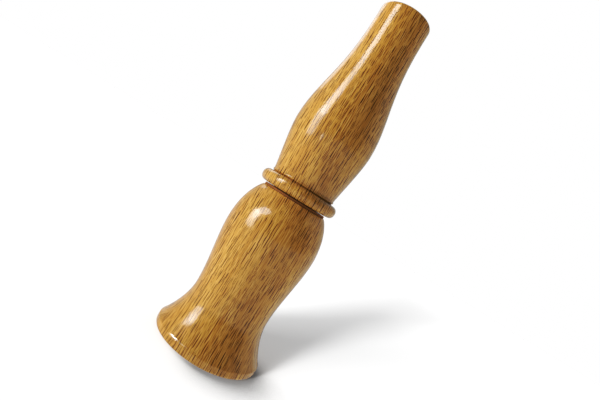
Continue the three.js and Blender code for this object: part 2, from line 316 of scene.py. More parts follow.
class Bench(Wiring):
    """The nodes of one material."""

    def __init__(self, name):
        self.material = bpy.data.materials.new(name)
        self.material.use_nodes = True
        super().__init__(self.material.node_tree)
        self.surface = self.nodes["Principled BSDF"]
        self.place = self.nodes.new("ShaderNodeTexCoord").outputs["Object"]

    def stretched(self, size, place=None):
        """Object coordinates in steps of so many millimetres along each axis."""
        node = self.nodes.new("ShaderNodeMapping")
        node.inputs["Scale"].default_value = [1 / (step * MM) for step in size]
        self.link(place or self.place, node.inputs["Vector"])
        return node.outputs["Vector"]

    def noise(self, size, detail=2, roughness=0.5, place=None, output="Fac"):
        node = self.nodes.new("ShaderNodeTexNoise")
        node.inputs["Scale"].default_value = 1
        node.inputs["Detail"].default_value = detail
        node.inputs["Roughness"].default_value = roughness
        self.link(self.stretched(size, place), node.inputs["Vector"])
        return node.outputs[output]

    def cells(self, size, place=None):
        node = self.nodes.new("ShaderNodeTexVoronoi")
        node.inputs["Scale"].default_value = 1
        self.link(self.stretched(size, place), node.inputs["Vector"])
        return node

    def mix(self, share, first, second):
        node = self.nodes.new("ShaderNodeMix")
        node.data_type = "RGBA"
        self.link(share, node.inputs["Factor"])
        for socket, value in ((node.inputs["A"], first), (node.inputs["B"], second)):
            if isinstance(value, tuple):
                socket.default_value = value
            else:
                self.link(value, socket)
        return node.outputs["Result"]

    def bump(self, height, depth, strength):
        node = self.nodes.new("ShaderNodeBump")
        node.inputs["Strength"].default_value = strength
        node.inputs["Distance"].default_value = depth
        self.link(height, node.inputs["Height"])
        return node.outputs["Normal"]

    def set(self, **values):
        """Gives sockets of the surface a value each, or what another node puts out."""
        for name, value in values.items():
            socket = self.surface.inputs[name.replace("_", " ")]
            if isinstance(value, bpy.types.NodeSocket):
                self.link(value, socket)
            else:
                socket.default_value = value


def swayed(bench):
    """Object coordinates pushed sideways a little, so that the grain isn't ruled straight."""
    sway = bench.noise(SWAY_SIZE, detail=1, output="Color")
    centred = bench.vector("SUBTRACT", sway, (0.5, 0.5, 0.5))
    pushed = bench.vector("MULTIPLY", centred, (SWAY_DEPTH, SWAY_DEPTH, 0))
    return bench.vector("ADD", pushed, bench.place)


def dashes(bench, grain, cell, dash):
    """Dark ribbons of a size in mm, one to a cell, some of them short or faint."""
    scattered = bench.cells(cell, grain)
    scattered.inputs["Randomness"].default_value = DASH_SCATTER
    tone = bench.nodes.new("ShaderNodeSeparateColor")
    bench.link(scattered.outputs["Color"], tone.inputs["Color"])
    away = bench.vector("SUBTRACT", bench.stretched(cell, grain), scattered.outputs["Position"])
    shaped = bench.vector("MULTIPLY", away, [2 * step / size for step, size in zip(cell, dash)])
    reach = bench.vector("LENGTH", shaped, output="Value")
    share = bench.math("DIVIDE", reach, bench.ramp(tone.outputs["Green"], 0, 1, *DASH_LENGTHS))
    return bench.math("MULTIPLY", bench.ramp(share, DASH_SOFT_FROM, 1, 1, 0),
                      bench.ramp(tone.outputs["Red"], 0, FAINT_DASHES, DASH_FAINTEST, 1))


def all_round(bench, grain, pattern):
    """Runs a pattern of upright planes through the wood, and another crosswise at its sides."""
    part = bench.nodes.new("ShaderNodeSeparateXYZ")
    bench.link(grain, part.inputs["Vector"])
    crosswise = bench.nodes.new("ShaderNodeCombineXYZ")
    bench.link(part.outputs["Y"], crosswise.inputs["X"])
    bench.link(part.outputs["X"], crosswise.inputs["Y"])
    bench.link(part.outputs["Z"], crosswise.inputs["Z"])
    out = bench.vector("LENGTH", bench.vector("MULTIPLY", grain, (1, 1, 0)), output="Value")
    sideways = bench.math("DIVIDE", bench.math("ABSOLUTE", part.outputs["X"]), out)
    share = bench.ramp(sideways, *SIDE_BLEND)
    front, side = pattern(grain), pattern(crosswise.outputs["Vector"])
    return bench.math("MULTIPLY_ADD", bench.math("SUBTRACT", side, front), share, front)


def wood_colour(bench):
    """Golden hardwood with fine dark dashes. Returns its colour and the depth of its pores."""
    grain = swayed(bench)
    bands = bench.noise(BAND_SIZE, detail=1, place=grain)
    colour = bench.mix(bench.ramp(bands, *BANDS), WOOD_LIGHT, WOOD_DEEP)
    fibres = all_round(bench, grain, lambda place: bench.noise(FIBRE_SIZE, detail=1, place=place))
    colour = bench.mix(bench.ramp(fibres, *LIGHT_FIBRES), colour, FIBRE_LIGHT)
    lines = bench.ramp(fibres, *DARK_FIBRES)
    colour = bench.mix(lines, colour, FIBRE_DARK)
    main = all_round(bench, grain, lambda place: dashes(bench, place, MAIN_CELL, MAIN_DASH))
    fine = all_round(bench, grain, lambda place: dashes(bench, place, FINE_CELL, FINE_DASH))
    dark = bench.math("MAXIMUM", bench.math("MULTIPLY", fine, FINE_STRENGTH), main)
    colour = bench.mix(bench.math("MULTIPLY", dark, DASH_STRENGTH), colour, DASH_DARK)
    return colour, bench.math("MAXIMUM", dark, bench.math("MULTIPLY", lines, DARK_FIBRE_DEPTH))


def make_lacquered_wood():
    """Wood under a clear coat, which sinks a little into the pores and has an orange peel."""
    bench = Bench("lacquered_wood")
    colour, depth = wood_colour(bench)
    sunk = bench.math("SUBTRACT", 1, depth)
    orange_peel = bench.noise(PEEL_SIZE)
    lacquer = bench.math("MULTIPLY_ADD", sunk, PORE_SHOWING, orange_peel)
    bench.set(Base_Color=colour, Roughness=bench.ramp(depth, 0, 1, *LACQUERED_ROUGHNESS),
              Normal=bench.bump(sunk, PORE_DEPTH, strength=0.4), Specular_IOR_Level=0.05,
              Coat_Weight=1, Coat_Roughness=0.13, Coat_IOR=1.5,
              Coat_Normal=bench.bump(lacquer, PEEL_DEPTH, strength=0.5))
    return bench.material


def make_bare_wood():
    """The same wood as the tool leaves it, and painted brown shade where the halves part."""
    bench = Bench("bare_wood")
    colour, depth = wood_colour(bench)
    marks = bench.noise(TOOL_MARK_SIZE)
    pale = bench.mix(bench.ramp(marks, *PALE_MARKS), colour, BARE_PALE)
    level = bench.nodes.new("ShaderNodeSeparateXYZ")
    bench.link(bench.place, level.inputs["Vector"])
    above = bench.math("SUBTRACT", level.outputs["Z"], PARTING_LEVEL)
    away = bench.math("ABSOLUTE", above)
    # Painted shade on the step where the halves part, brown and darkest at its middle
    step_shade_share = bench.ramp(away, *PARTING_SHADE_EDGE, PARTING_SHADE_STRENGTH, 0)
    painted_step_shade = bench.mix(bench.ramp(away, *PARTING_SHADE_CORE), PARTING_SHADE_BROWN, PARTING_SHADE_DARK)
    sunk = bench.math("SUBTRACT", 1, depth)
    height = bench.math("MULTIPLY_ADD", marks, TOOL_MARK_SHARE, sunk)
    bench.set(Base_Color=bench.mix(step_shade_share, pale, painted_step_shade),
              Roughness=bench.ramp(marks, *ROUGH_MARKS),
              Normal=bench.bump(height, TOOL_MARK_DEPTH, strength=0.6), Specular_IOR_Level=0.2)
    return bench.material


LACQUERED_WOOD = make_lacquered_wood()
BARE_WOOD = make_bare_wood()


def groove(level):
    """The outline of a ring groove in the tenon, from below."""
    low, high = level - GROOVE_WIDTH / 2, level + GROOVE_WIDTH / 2
    return [at(TENON_RADIUS, low), at(GROOVE_FLOOR_RADIUS, low),
            at(GROOVE_FLOOR_RADIUS, high), at(TENON_RADIUS, high)]


land_outer = at(RIM_RADIUS - RIM_EDGE, 0)
land_inner = at(land_outer.x - RIM_LAND_WIDTH, 0)
mouth = at(land_inner.x - MOUTH_ROUNDING, MOUTH_ROUNDING)
throat = at(BORE_RADIUS, BORE_THROAT_LEVEL)
rim = at(RIM_RADIUS, RIM_EDGE)
band_top = at(RIM_RADIUS, RIM_BAND_TOP)
crest = at(RIM_CREST_RADIUS, RIM_CREST_LEVEL)
waist = at(WAIST_RADIUS, WAIST_LEVEL)
belly = at(BELLY_RADIUS, BELLY_LEVEL)
shoulder = at(SHOULDER_RADIUS, SHOULDER_FOOT)

bell = turn(
    "turned_bell",
    bend(throat, mouth, **BORE_CURVE)
    + rounded(mouth, land_inner, at(land_inner.x, mouth.z))
    + rounded(land_outer, rim, at(land_outer.x, rim.z))
    + bend(band_top, crest, **RIM_CURVE)
    + bend(crest, waist, **FLARE_CURVE)
    + bend(waist, belly, **WAIST_CURVE)
    + bend(belly, shoulder, **SHOULDER_CURVE),
    [at(PARTING_RADIUS, SHOULDER_FOOT), at(PARTING_RADIUS, SHOULDER_LEVEL),
     at(TENON_RADIUS, SHOULDER_LEVEL)]
    + groove(RING_LEVELS[0])
    + groove(RING_LEVELS[1])
    + [at(TENON_RADIUS, TENON_TOP - TENON_EDGE), at(TENON_RADIUS - TENON_EDGE, TENON_TOP),
       at(BORE_RADIUS, TENON_TOP)],
    LACQUERED_WOOD, BARE_WOOD)
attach(bell, "bell")
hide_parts("bell")


# Rubber rings
# Two moulded black rubber rings, rolled over the tenon into its grooves. Pressed between
# groove and socket they lie a little oval, and they grip the mouthpiece so that it holds.

RING_THICKNESS = 1.5 * MM
RING_WIDTH = 2 * MM
RING_MIDDLE_RADIUS = 8.3 * MM
RING_SECTION_STEPS = 20
RING_SIDES = 128

RUBBER_BLACK = (0.012, 0.012, 0.013, 1)
RUBBER_DUSTY = (0.045, 0.043, 0.040, 1)
RUBBER_ROUGHNESS = (0.42, 0.65)
DUST_SIZE = (1.1, 1.1, 1.1)
DUST_LIMITS = (0.45, 0.75)
MOULD_SIZE = (0.14, 0.14, 0.14)
MOULD_DEPTH = 0.02 * MM


def make_rubber():
    """Black rubber with a film of dust and the fine roughness of its mould."""
    bench = Bench("ring_rubber")
    film = bench.ramp(bench.noise(DUST_SIZE, detail=4, roughness=0.6), *DUST_LIMITS)
    bench.set(Base_Color=bench.mix(film, RUBBER_BLACK, RUBBER_DUSTY),
              Roughness=bench.ramp(film, 0, 1, *RUBBER_ROUGHNESS),
              Normal=bench.bump(bench.noise(MOULD_SIZE), MOULD_DEPTH, strength=0.6))
    return bench.material


RUBBER = make_rubber()


def ring_section(level):
    """An oval about the middle of a groove."""
    points = []
    for step in range(RING_SECTION_STEPS):
        angle = 2 * math.pi * step / RING_SECTION_STEPS
        radius = RING_MIDDLE_RADIUS + RING_THICKNESS / 2 * math.cos(angle)
        points.append(at(radius, level + RING_WIDTH / 2 * math.sin(angle)))
    return points


for node, level in zip(("lower_o_ring", "upper_o_ring"), RING_LEVELS):
    ring = turn("moulded_" + node, ring_section(level), [], RUBBER, RUBBER, RING_SIDES)
    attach(ring, "rings")
    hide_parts(node)


# Reed block
# A small turned plug of plain hardwood that holds the voice. It is pressed into the bore of
# the tenon until its flange stops on the end, and the trough, reed and wedge fill its hole.

BLOCK_RADIUS = 5.3 * MM
BLOCK_FOOT = 72.5 * MM
BLOCK_EDGE = 0.5 * MM
BLOCK_BORE_RADIUS = 3.8 * MM
FLANGE_RADIUS = 7.2 * MM
FLANGE_LEVEL = 84.5 * MM
BLOCK_TOP = 86 * MM

PLAIN_PALE = (0.66, 0.45, 0.23, 1)
PLAIN_DEEP = (0.46, 0.27, 0.11, 1)
PLAIN_FIBRE_SIZE = (0.3, 0.9, 4.5)
PLAIN_FIBRE_LIMITS = (0.35, 0.7)
PLAIN_MARK_SIZE = (5, 5, 0.17)
PLAIN_ROUGH_MARKS = (0.3, 0.7, 0.5, 0.68)
PLAIN_MARK_SHARE = 0.7
PLAIN_DEPTH = 0.05 * MM


def make_plain_wood():
    """Pale wood without figure: fibres along the grain and the marks of the tool."""
    bench = Bench("plain_wood")
    fibres = bench.noise(PLAIN_FIBRE_SIZE, detail=4, roughness=0.6)
    marks = bench.noise(PLAIN_MARK_SIZE)
    height = bench.math("MULTIPLY_ADD", marks, PLAIN_MARK_SHARE, fibres)
    deep = bench.ramp(fibres, *PLAIN_FIBRE_LIMITS)
    bench.set(Base_Color=bench.mix(deep, PLAIN_PALE, PLAIN_DEEP),
              Roughness=bench.ramp(marks, *PLAIN_ROUGH_MARKS),
              Normal=bench.bump(height, PLAIN_DEPTH, strength=0.6))
    return bench.material


PLAIN_WOOD = make_plain_wood()

block = turn("turned_reed_block", [
    at(BLOCK_BORE_RADIUS, BLOCK_FOOT),
    at(BLOCK_RADIUS - BLOCK_EDGE, BLOCK_FOOT),
    at(BLOCK_RADIUS, BLOCK_FOOT + BLOCK_EDGE),
    at(BLOCK_RADIUS, FLANGE_LEVEL),
    at(FLANGE_RADIUS, FLANGE_LEVEL),
    at(FLANGE_RADIUS, BLOCK_TOP - BLOCK_EDGE),
    at(FLANGE_RADIUS - BLOCK_EDGE, BLOCK_TOP),
    at(BLOCK_BORE_RADIUS, BLOCK_TOP),
], [], PLAIN_WOOD, PLAIN_WOOD, RING_SIDES)
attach(block, "bell")
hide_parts("reed_block")


# Tone trough
# A half-round brass rod. Its flat face falls away from the reed towards a rounded nose, and
# a half-round sound channel is milled in it, open at the foot. It is pushed into the block.

TROUGH_RADIUS = 3.5 * MM
CHANNEL_RADIUS = 2.6 * MM
TROUGH_FACE = -0.25 * MM
TROUGH_FOOT = 75 * MM
TROUGH_TIP = 108 * MM
CHANNEL_TIP = 106 * MM
LAY_DROP = 1.2 * MM
NOSE_LENGTH = 3 * MM
NOSE_CAP = 0.02 * MM
ROD_STEPS = 40
CHANNEL_STEPS = 24
LAY_STEPS = 18
NOSE_STEPS = 12
METAL_EDGE = 0.12 * MM
WELD_DISTANCE = 0.002 * MM
EASED_ANGLE = math.radians(40)
EASED_SEGMENTS = 2

BRASS_BRIGHT = (0.80, 0.56, 0.22, 1)
BRASS_DULL = (0.47, 0.29, 0.10, 1)
BRASS_ROUGHNESS = (0.16, 0.36)
TARNISH_SIZE = (2.9, 2.9, 4.5)
TARNISH_LIMITS = (0.42, 0.72)
DRAWN_LINE_SIZE = (0.11, 0.11, 8)
DRAWN_LINE_ROUGHNESS = 0.12
DRAWN_LINE_DEPTH = 0.012 * MM


def make_brass():
    """Drawn brass: fine lines along it, and patches that have gone dull."""
    bench = Bench("voice_brass")
    lines = bench.noise(DRAWN_LINE_SIZE, detail=3, roughness=0.6)
    dull = bench.ramp(bench.noise(TARNISH_SIZE, detail=5, roughness=0.6), *TARNISH_LIMITS)
    rough = bench.math("MULTIPLY_ADD", lines, DRAWN_LINE_ROUGHNESS,
                       bench.ramp(dull, 0, 1, *BRASS_ROUGHNESS))
    bench.set(Base_Color=bench.mix(dull, BRASS_BRIGHT, BRASS_DULL), Metallic=1,
              Roughness=rough, Normal=bench.bump(lines, DRAWN_LINE_DEPTH, strength=0.5))
    return bench.material


BRASS = make_brass()


def quadratic(start, pull, end, share):
    """A point of a curve that is pulled towards a third point between its ends."""
    return start * (1 - share) ** 2 + pull * 2 * share * (1 - share) + end * share ** 2


def lay(level):
    """How far the flat face of the trough has fallen away at a level."""
    share = max(0, (level - BLOCK_TOP) / (TROUGH_TIP - BLOCK_TOP))
    return TROUGH_FACE - LAY_DROP * share ** 2


def nose(level):
    """The lowest y of the trough at a level, where its nose rounds up to the tip."""
    foot = TROUGH_TIP - NOSE_LENGTH
    if level <= foot:
        return -TROUGH_RADIUS
    share = 1 - math.sqrt((TROUGH_TIP - level) / NOSE_LENGTH)
    return -TROUGH_RADIUS + (TROUGH_RADIUS + TROUGH_FACE - LAY_DROP) * share ** 2


def arc(radius, top, steps):
    """Points round the lower side of the bore, from one edge of a flat face to the other."""
    reach = math.acos(-top / radius)
    turns = [reach * (2 * step / steps - 1) for step in range(steps + 1)]
    return [(radius * math.sin(a), -radius * math.cos(a)) for a in turns]


def skin(rings):
    """A closed skin over rings of points that all have the same count."""
    form = bmesh.new()
    rows = [[form.verts.new(point) for point in ring] for ring in rings]
    count = len(rows[0])
    for low, high in zip(rows, rows[1:]):
        for i in range(count):
            j = (i + 1) % count
            form.faces.new((low[i], low[j], high[j], high[i]))
    form.faces.new(reversed(rows[0]))
    form.faces.new(rows[-1])
    bmesh.ops.remove_doubles(form, verts=form.verts, dist=WELD_DISTANCE)
    bmesh.ops.recalc_face_normals(form, faces=form.faces)
    if form.calc_volume(signed=True) < 0:
        bmesh.ops.reverse_faces(form, faces=form.faces)
    return form


def finish_form(name, form, material, edge):
    """A piece from a bmesh, with its sharp edges eased."""
    mesh = bpy.data.meshes.new(name)
    form.to_mesh(mesh)
    form.free()
    mesh.materials.append(material)
    piece = add_piece(name, mesh)
    eased = piece.modifiers.new("eased edges", "BEVEL")
    eased.width = edge
    eased.segments = EASED_SEGMENTS
    eased.limit_method = "ANGLE"
    eased.angle_limit = EASED_ANGLE
    return piece


def trough_ring(level, channelled):
    """The outline of the trough at a level, with its channel or with a flat face instead."""
    face = lay(level)
    lowest = nose(level)
    outside = [(x, max(y, lowest)) for x, y in arc(TROUGH_RADIUS, face, ROD_STEPS)]
    inside = arc(CHANNEL_RADIUS, face, CHANNEL_STEPS)[::-1]
    if not channelled:
        inside = [(x, face) for x, _ in inside]
    return [Vector((x, y, level)) for x, y in outside + inside]


lay_length = CHANNEL_TIP - BLOCK_TOP
nose_reach = TROUGH_TIP - CHANNEL_TIP
channelled_levels = [TROUGH_FOOT, BLOCK_TOP]
channelled_levels += [BLOCK_TOP + lay_length * i / LAY_STEPS for i in range(1, LAY_STEPS + 1)]
solid_levels = [CHANNEL_TIP]
solid_levels += [TROUGH_TIP - nose_reach * (1 - i / NOSE_STEPS) ** 2 for i in range(1, NOSE_STEPS)]
solid_levels += [TROUGH_TIP - NOSE_CAP]
trough_rings = [trough_ring(level, True) for level in channelled_levels]
trough_rings += [trough_ring(level, False) for level in solid_levels]
trough = finish_form("milled_tone_trough", skin(trough_rings), BRASS, METAL_EDGE)
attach(trough, "bell")
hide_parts("tone_trough")


# Reed
# A thin tongue of rolled brass with its free corners rounded. It lies over the channel, is
# pinched at its root between the trough and the wedge, and beats against the lay.

REED_FACE = 0.05 * MM
REED_THICKNESS = 0.3 * MM
REED_HALF_WIDTH = 3.1 * MM
REED_FOOT = 80 * MM
REED_TIP = 107.5 * MM
REED_CORNER = 1.8 * MM
REED_CORNER_STEPS = 10
REED_EDGE = 0.05 * MM


def reed_corner(side):
    """A rounded free corner, from the long edge to the tip."""
    start = Vector((side * REED_HALF_WIDTH, 0, REED_TIP - REED_CORNER))
    pull = Vector((side * REED_HALF_WIDTH, 0, REED_TIP))
    end = Vector((side * (REED_HALF_WIDTH - REED_CORNER), 0, REED_TIP))
    shares = [i / REED_CORNER_STEPS for i in range(REED_CORNER_STEPS + 1)]
    return [quadratic(start, pull, end, share) for share in shares]


plan = [Vector((-REED_HALF_WIDTH, 0, REED_FOOT)), Vector((REED_HALF_WIDTH, 0, REED_FOOT))]
plan += reed_corner(1) + reed_corner(-1)[::-1]
front = Vector((0, REED_FACE, 0))
back = Vector((0, REED_FACE + REED_THICKNESS, 0))
tongue = skin([[point + front for point in plan], [point + back for point in plan]])
reed = finish_form("rolled_reed", tongue, BRASS, REED_EDGE)
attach(reed, "reed")
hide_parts("reed")


# Reed wedge
# A half-round slip of cork, flat against the reed and thinned behind its foot. Pushing it
# into the block pinches the reed on the trough, and sliding it tunes the call.

WEDGE_FACE = 0.65 * MM
WEDGE_FOOT = 77 * MM
WEDGE_TOP = 87 * MM
WEDGE_POINT_LENGTH = 3 * MM
WEDGE_POINT_DEPTH = 1.1 * MM
WEDGE_POINT_STEPS = 6
CORK_EDGE = 0.2 * MM

CORK_LIGHT = (0.55, 0.34, 0.17, 1)
CORK_DEEP = (0.30, 0.16, 0.07, 1)
CORK_PIT = (0.09, 0.04, 0.016, 1)
CORK_ROUGHNESS = (0.78, 0.95)
CORK_GRAIN_SIZE = (0.67, 0.67, 0.83)
CORK_SEAM_LIMITS = (0.3, 0.7)
CORK_PIT_SIZE = (0.9, 0.9, 1.4)
CORK_PIT_LIMITS = (0.6, 0.68)
CORK_PIT_DROP = 2
CORK_DEPTH = 0.06 * MM


def make_cork():
    """Pressed cork: pale and dark grains with seams between them, and small pits."""
    bench = Bench("wedge_cork")
    grains = bench.cells(CORK_GRAIN_SIZE)
    tone = bench.nodes.new("ShaderNodeSeparateColor")
    bench.link(grains.outputs["Color"], tone.inputs["Color"])
    colour = bench.mix(tone.outputs["Red"], CORK_LIGHT, CORK_DEEP)
    pits = bench.ramp(bench.noise(CORK_PIT_SIZE, detail=4, roughness=0.7), *CORK_PIT_LIMITS)
    seams = bench.ramp(grains.outputs["Distance"], *CORK_SEAM_LIMITS, 1, 0)
    height = bench.math("SUBTRACT", seams, bench.math("MULTIPLY", pits, CORK_PIT_DROP))
    bench.set(Base_Color=bench.mix(pits, colour, CORK_PIT),
              Roughness=bench.ramp(pits, 0, 1, *CORK_ROUGHNESS),
              Normal=bench.bump(height, CORK_DEPTH, strength=0.8))
    return bench.material


CORK = make_cork()


def wedge_ring(level):
    """The outline of the wedge at a level. It lies on the other side of the bore from the
    trough, so its arc is turned over."""
    share = min(1, (level - WEDGE_FOOT) / WEDGE_POINT_LENGTH)
    highest = TROUGH_RADIUS - WEDGE_POINT_DEPTH * (1 - share)
    rounded_side = arc(TROUGH_RADIUS, -WEDGE_FACE, ROD_STEPS)
    return [Vector((-x, min(-y, highest), level)) for x, y in rounded_side]


wedge_levels = [WEDGE_FOOT + WEDGE_POINT_LENGTH * i / WEDGE_POINT_STEPS
                for i in range(WEDGE_POINT_STEPS + 1)]
wedge_form = skin([wedge_ring(level) for level in wedge_levels + [WEDGE_TOP]])
wedge = finish_form("cut_reed_wedge", wedge_form, CORK, CORK_EDGE)
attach(wedge, "bell")
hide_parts("reed_wedge")


# Mouthpiece
# The upper half, turned from the same blank so that the grain runs on, and lacquered outside.
# Its bare socket slides over the tenon and the rings, and a chamber leads to the blowing bore.

BEAD_LEVEL = 62.5 * MM
BEAD_WIDTH = 4.6 * MM
BEAD_HEIGHT = 2.4 * MM
BEAD_ROOT_RADIUS = 12.8 * MM
BEAD_SQUARENESS = 2.3
CUT_LINE_LEVEL = 67.35 * MM
CUT_LINE_RADIUS = 12.1 * MM
ROLL_LEVEL = 67.5 * MM
ROLL_WIDTH = 0.9 * MM
ROLL_HEIGHT = 0.3 * MM
ROLL_ROOT_RADIUS = 12.35 * MM
ROLL_STEPS = 28
ROLL_STEPS_SUNK = 3
NECK_RADIUS = 12.45 * MM
NECK_LEVEL = 68.4 * MM
BULB_RADIUS = 15.4 * MM
BULB_LEVEL = 89 * MM
STEM_RADIUS = 9.9 * MM
STEM_LEVEL = 134 * MM
LIP_LEVEL = 138.4 * MM
LIP_EDGE = 1.7 * MM
TOP_LEVEL = 140 * MM
BLOWING_BORE_RADIUS = 4.5 * MM
BLOWING_BORE_ROUNDING = 0.8 * MM
CHAMBER_TOP = 110 * MM
CONE_TOP = 117 * MM
SOCKET_RADIUS = 9.2 * MM
SOCKET_LEAD_IN = 0.6 * MM
NECK_CURVE = {"start_run": 0.31, "end_run": 0.26, "start_slope": 0.15}
STEM_CURVE = {"start_run": 0.3, "end_run": 0.52}


def roll(foot, width, height, squareness=2):
    """A ring turned round the outside. Above 2 the squareness flattens its face."""
    points = []
    for step in range(ROLL_STEPS + 1):
        angle = math.pi * (step / ROLL_STEPS - 0.5)
        out = math.cos(angle) ** (2 / squareness)
        up = math.copysign(abs(math.sin(angle)) ** (2 / squareness), angle)
        points.append(foot + Vector((height * out, 0, width / 2 * (1 + up))))
    return points


neck = at(NECK_RADIUS, NECK_LEVEL)
bulb = at(BULB_RADIUS, BULB_LEVEL)
stem = at(STEM_RADIUS, STEM_LEVEL)
lip = at(STEM_RADIUS, LIP_LEVEL)
lip_end = at(STEM_RADIUS - LIP_EDGE, TOP_LEVEL)
bore_edge = at(BLOWING_BORE_RADIUS + BLOWING_BORE_ROUNDING, TOP_LEVEL)
bore = at(BLOWING_BORE_RADIUS, TOP_LEVEL - BLOWING_BORE_ROUNDING)

mouthpiece = turn(
    "turned_mouthpiece",
    roll(at(BEAD_ROOT_RADIUS, BEAD_LEVEL), BEAD_WIDTH, BEAD_HEIGHT, BEAD_SQUARENESS)
    + [at(CUT_LINE_RADIUS, CUT_LINE_LEVEL)]
    + roll(at(ROLL_ROOT_RADIUS, ROLL_LEVEL), ROLL_WIDTH, ROLL_HEIGHT)[:-ROLL_STEPS_SUNK]
    + bend(neck, bulb, **NECK_CURVE)
    + bend(bulb, stem, **STEM_CURVE)
    + rounded(lip, lip_end, at(lip_end.x, lip.z))
    + rounded(bore_edge, bore, at(bore_edge.x, bore.z)),
    [at(BLOWING_BORE_RADIUS, CONE_TOP), at(SOCKET_RADIUS, CHAMBER_TOP),
     at(SOCKET_RADIUS, BEAD_LEVEL + SOCKET_LEAD_IN),
     at(SOCKET_RADIUS + SOCKET_LEAD_IN, BEAD_LEVEL)],
    LACQUERED_WOOD, BARE_WOOD)
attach(mouthpiece, "mouthpiece")
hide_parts("mouthpiece")


# Floor
# A plain white sheet that the call stands on, bright enough to lose its far edge. Shade is
# painted into its colour where the rim comes down on it, and the lacquer mirrors it dimmed.

FLOOR_HALF_SIZE = 4
FLOOR_DROP = 0.02 * MM
FLOOR_GREY = 0.6
FLOOR_GLOW = 0.05
FLOOR_ROUGHNESS = 0.9
# Painted shade round the contact: its depth, where it fades in across the floor, its reach, and
# the tilted sky that it is measured against
PAINTED_CONTACT_SHADE_DEPTH = 0.68
PAINTED_CONTACT_SHADE_FADE = (-16 * MM, 2 * MM)
PAINTED_CONTACT_SHADE_REACH = 26 * MM
PAINTED_CONTACT_SHADE_OPENNESS = (0.48, 0.95)
PAINTED_CONTACT_SHADE_TILT = (-0.55, 0.42, 0.72)
MIRRORED_SHARE = 0.5


def make_floor_white():
    """White, with painted shade round the contact, seen by the camera only."""
    bench = Bench("floor_white")
    near = bench.nodes.new("ShaderNodeAmbientOcclusion")
    near.inputs["Distance"].default_value = PAINTED_CONTACT_SHADE_REACH
    tilt = bench.nodes.new("ShaderNodeCombineXYZ")
    for socket, value in zip(tilt.inputs, PAINTED_CONTACT_SHADE_TILT):
        socket.default_value = value
    bench.link(tilt.outputs["Vector"], near.inputs["Normal"])
    place = bench.nodes.new("ShaderNodeSeparateXYZ")
    bench.link(bench.place, place.inputs["Vector"])
    # Painted shade: the floor's colour darkens where the call hides it from a tilted sky, more
    # towards the right
    hidden = bench.ramp(near.outputs["AO"], *PAINTED_CONTACT_SHADE_OPENNESS, 1, 0)
    depth = bench.ramp(place.outputs["X"], *PAINTED_CONTACT_SHADE_FADE, 0, PAINTED_CONTACT_SHADE_DEPTH)
    path = bench.nodes.new("ShaderNodeLightPath")
    shade = bench.math("MULTIPLY", bench.math("MULTIPLY", hidden, depth),
                       path.outputs["Is Camera Ray"])
    white = bench.math("MULTIPLY", bench.ramp(shade, 0, 1, FLOOR_GREY, 0),
                       bench.ramp(path.outputs["Is Glossy Ray"], 0, 1, 1, MIRRORED_SHARE))
    bench.set(Base_Color=white, Roughness=FLOOR_ROUGHNESS, Specular_IOR_Level=0,
              Emission_Color=(1, 1, 1, 1), Emission_Strength=FLOOR_GLOW)
    return bench.material


def make_floor():
    """A square sheet just under the rim."""
    form = bmesh.new()
    bmesh.ops.create_grid(form, x_segments=1, y_segments=1, size=FLOOR_HALF_SIZE)
    bmesh.ops.translate(form, verts=form.verts, vec=(0, 0, -FLOOR_DROP))
    mesh = bpy.data.meshes.new("floor")
    form.to_mesh(mesh)
    form.free()
    mesh.materials.append(make_floor_white())
    laid = bpy.data.objects.new("floor", mesh)
    bpy.context.scene.collection.objects.link(laid)
    return laid


floor = make_floor()


# Lights
# A large lamp on the left shapes the wood, and windows and small lamps that show only in the
# lacquer make it shine. The floor has suns of its own, for the shadow that the call throws.

AIM = Vector((0, 0, 70)) * MM
LAMP_DISTANCE = 870 * MM
NEAR_LAMP_DISTANCE = 60 * MM

# Far lamps: their directions from the call and the angles that they span, in degrees
KEY = {"azimuth": 70, "elevation": 15, "width": 26, "height": 26, "power": 7.6}
FILL = {"azimuth": -88, "elevation": 30, "width": 40, "height": 40, "power": 1.5}
WINDOW = {"azimuth": 56, "elevation": 16, "width": 50, "height": 54, "power": 27}
BACK_PANEL = {"azimuth": 142, "elevation": 36, "width": 32, "height": 32, "power": 0.8}
BULB_GLINT = {"azimuth": 27, "elevation": -5, "width": 5, "height": 5, "power": 0.22}
BELLY_GLINT = {"azimuth": 6, "elevation": -13, "width": 6, "height": 6, "power": 0.1}

# Panes of a window, in degrees: from side to side, from bottom to top, softness of the edge,
# and brightness
UPPER_PANES = (
    ((54, 73), (-6, 19), 4, 0.44),
    ((54, 67), (19, 37), 5, 0.8),
)
LOWER_PANES = (
    ((55, 74), (-2, 14), 4, 0.52),
    ((50, 64), (-14, -4), 4, 0.15),
    ((57, 69), (8, 13), 4, 0.48),
)

# Near lamps: the spot that each one is turned to, its direction from there and its size
SHOULDER_SPOT = Vector((-6.1, -14.8, 54.5)) * MM
SHOULDER_LAMP = {"azimuth": 54, "elevation": 21.5, "width": 44 * MM, "height": 14 * MM,
                 "power": 0.0115, "lean": 22}
RIM_SPOT = Vector((-10.8, -16.7, 3.7)) * MM
RIM_LAMP = {"azimuth": 75, "elevation": 44, "width": 18 * MM, "height": 12 * MM,
            "power": 0.0009}
RIM_LAMP_SPREAD = 36

# Suns of the floor: name, azimuth, elevation and softness in degrees, and strength
FLOOR_SUNS = (
    ("low sun", 24.5, 6.5, 8, 17.5),
    ("higher sun", 31, 13, 24, 5.9),
    ("sky", 25, 80, 150, 1.3),
)

# White walls: how bright they are, and the part of the direction over which each fades in
BACK_GLOW = 0.42
BACK_EDGE = (-0.5, 0.25)
LEFT_GLOW = 0.2
LEFT_EDGE = (-0.55, -0.25)

# Tone curve: how bright a light of the scene is shown
TONE_STEPS = ((0.1, 0.065), (0.25, 0.25), (0.6, 0.645))


def way_to(azimuth, elevation):
    """A direction from the call, so far to the left of the camera and so far up."""
    side, up = math.radians(azimuth), math.radians(elevation)
    flat = math.cos(up)
    return Vector((-math.sin(side) * flat, -math.cos(side) * flat, math.sin(up)))


